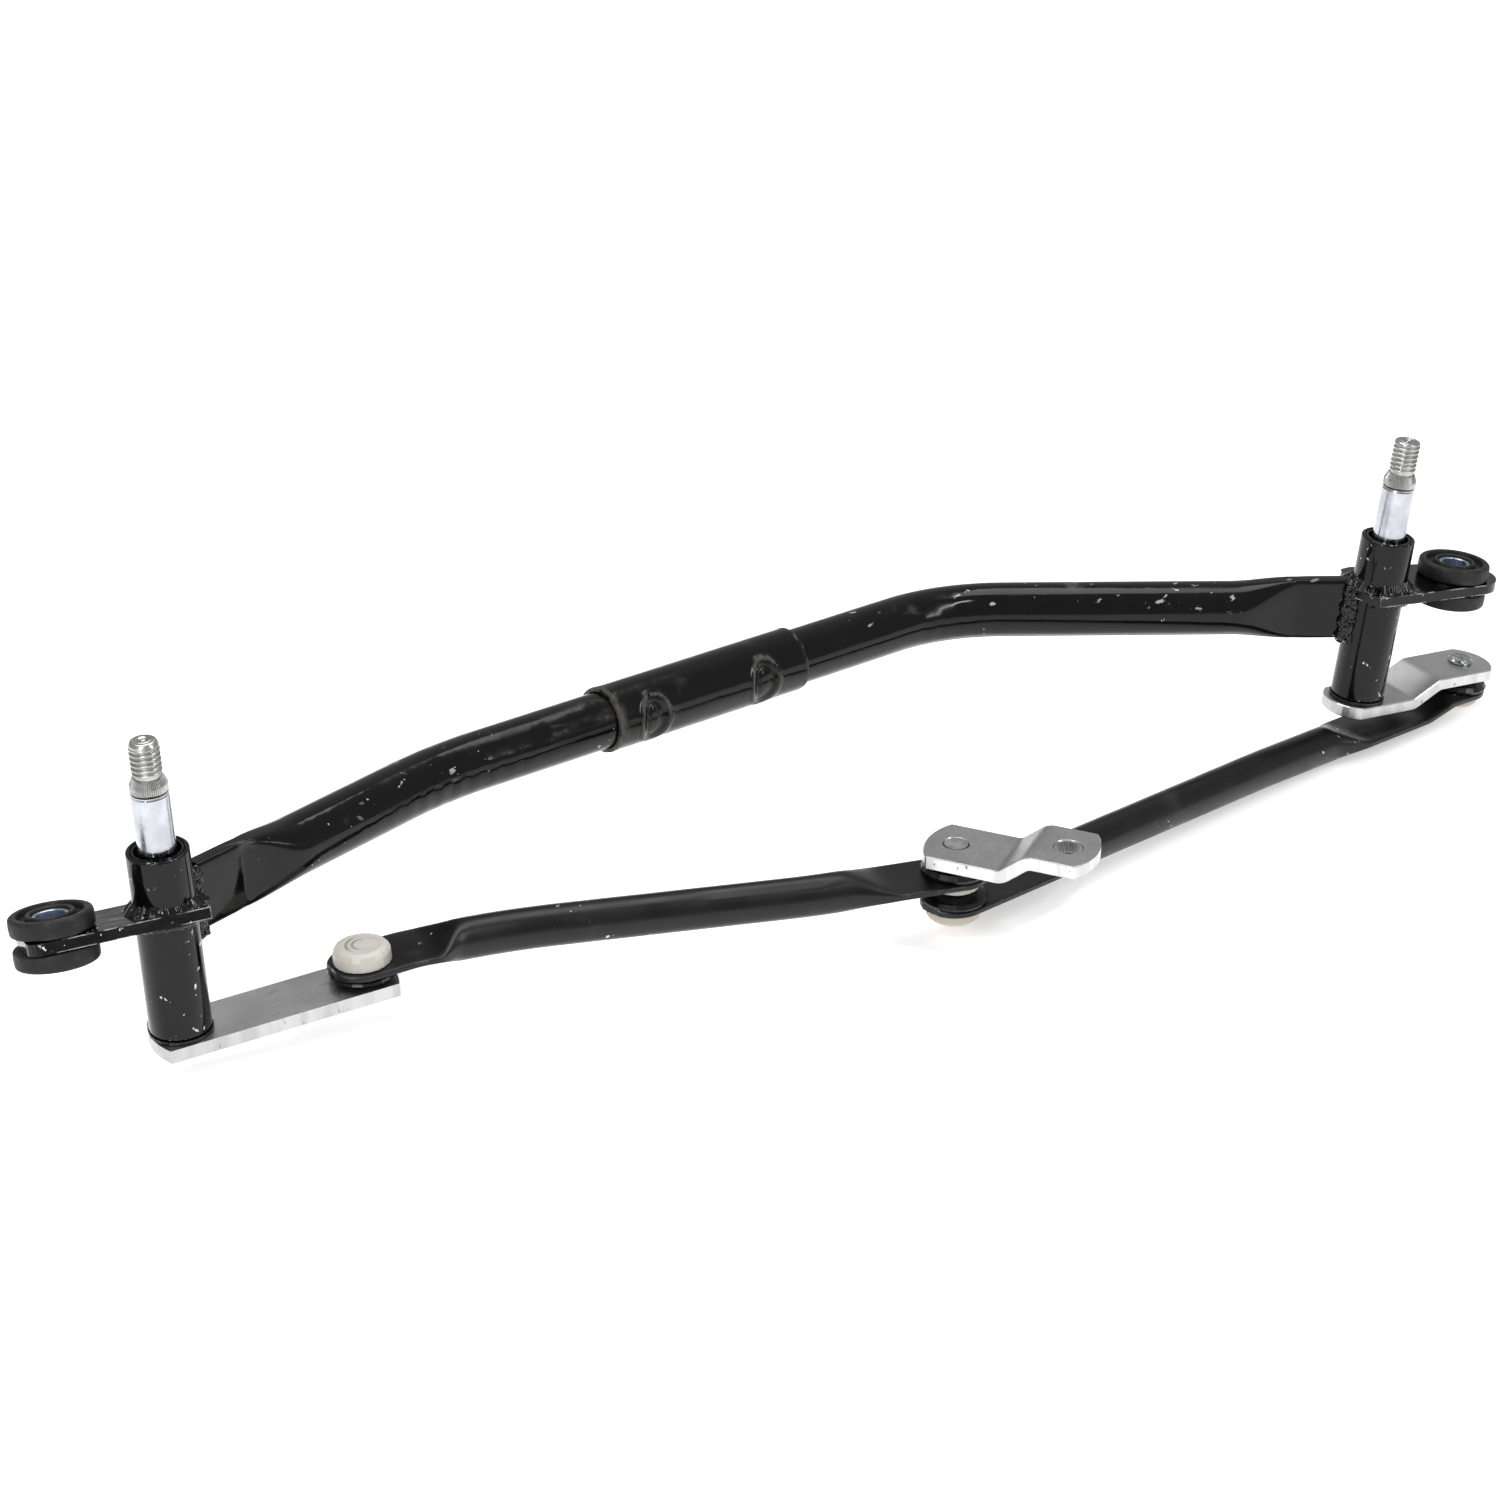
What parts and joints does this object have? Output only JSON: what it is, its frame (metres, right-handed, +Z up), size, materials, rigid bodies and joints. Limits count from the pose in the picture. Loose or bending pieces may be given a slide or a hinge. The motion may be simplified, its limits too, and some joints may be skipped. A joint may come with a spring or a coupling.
{
  "type": "windshield wiper linkage",
  "caption": "Car windshield wiper linkage: a bent black tube frame with two wiper pivots, two tie rods with ball joints, and a crank arm for the motor.",
  "frame": {"origin": "centre of the left grommet's bottom face, where the left cowl bolt passes", "axes": "+X from the left pivot to the right pivot, +Y to the tube frame's side, +Z up along the wiper shafts"},
  "size_m": [0.6263, 0.1835, 0.1237],
  "materials": {
    "black_paint": "glossy",
    "satin_black": "satin",
    "zinc": "bright zinc plate",
    "worn_steel": "brushed, grey",
    "rubber": "matte",
    "white_nylon": "matte",
    "beige_nylon": "matte",
    "bronze": "sintered"
  },
  "bodies": {
    "frame": {"frame_tube_left": "black_paint", "frame_tube_right": "black_paint", "centre_sleeve": "black_paint", "pivot_housing_left": "black_paint", "pivot_housing_right": "black_paint", "mounting_tab_left": "black_paint", "mounting_tab_right": "black_paint", "grommet_left": "rubber", "grommet_right": "rubber", "grommet_sleeve_left": "zinc", "grommet_sleeve_right": "zinc", "bushing_upper_left": "bronze", "bushing_lower_left": "bronze", "bushing_upper_right": "bronze", "bushing_lower_right": "bronze", "shaft_seal_left": "rubber", "shaft_seal_right": "rubber", "thrust_washer_left": "zinc", "thrust_washer_right": "zinc"},
    "left_lever": {"pivot_shaft_left": "zinc", "retaining_ring_left": "worn_steel", "pivot_lever_left": "worn_steel", "ball_stud_left": "zinc"},
    "right_lever": {"pivot_shaft_right": "zinc", "retaining_ring_right": "worn_steel", "pivot_lever_right": "zinc", "ball_stud_right": "zinc"},
    "left_rod": {"tie_rod_left": "satin_black", "socket_left_lever": "white_nylon", "socket_crank_upper": "white_nylon", "boot_left_lever": "rubber", "boot_crank_upper": "rubber"},
    "right_rod": {"tie_rod_right": "satin_black", "socket_right_lever": "beige_nylon", "socket_crank_lower": "beige_nylon", "boot_right_lever": "rubber", "boot_crank_lower": "rubber"},
    "crank": {"crank_arm": "worn_steel", "crank_stud": "zinc"}
  },
  "joints": [
    {"name": "left_wiper_pivot", "type": "hinge", "parent": "frame", "child": "left_lever", "pos_m": [0.03921, -0.00429, -0.03468], "axis": [-0.0604, 0.0269, 0.9978], "range_deg": [-45, 45]},
    {"name": "left_rod_pivot", "type": "hinge", "parent": "left_lever", "child": "left_rod", "pos_m": [0.10381, -0.00918, -0.02593], "axis": [-0.0259, -0.0589, 0.9979], "range_deg": [-49, 49]},
    {"name": "crank_spin", "type": "hinge", "parent": "left_rod", "child": "crank", "pos_m": [0.31441, -0.05489, -0.03468], "axis": [0, 0, 1], "continuous": true},
    {"name": "right_wiper_pivot", "type": "hinge", "parent": "frame", "child": "right_lever", "pos_m": [0.54371, -0.00429, -0.03468], "axis": [0.1024, -0.0268, 0.9944], "range_deg": [-51, 51]},
    {"name": "right_rod_pivot", "type": "hinge", "parent": "right_lever", "child": "right_rod", "pos_m": [0.59839, -0.00186, -0.04507], "axis": [0.0846, 0.0368, 0.9957], "range_deg": [-49, 49]}
  ],
  "couplings": [
    {"joint": "left_rod_pivot", "follows": "left_wiper_pivot", "ratio": -1.077},
    {"joint": "right_wiper_pivot", "follows": "left_wiper_pivot", "ratio": 1.122},
    {"joint": "right_rod_pivot", "follows": "left_wiper_pivot", "ratio": -1.073}
  ]
}
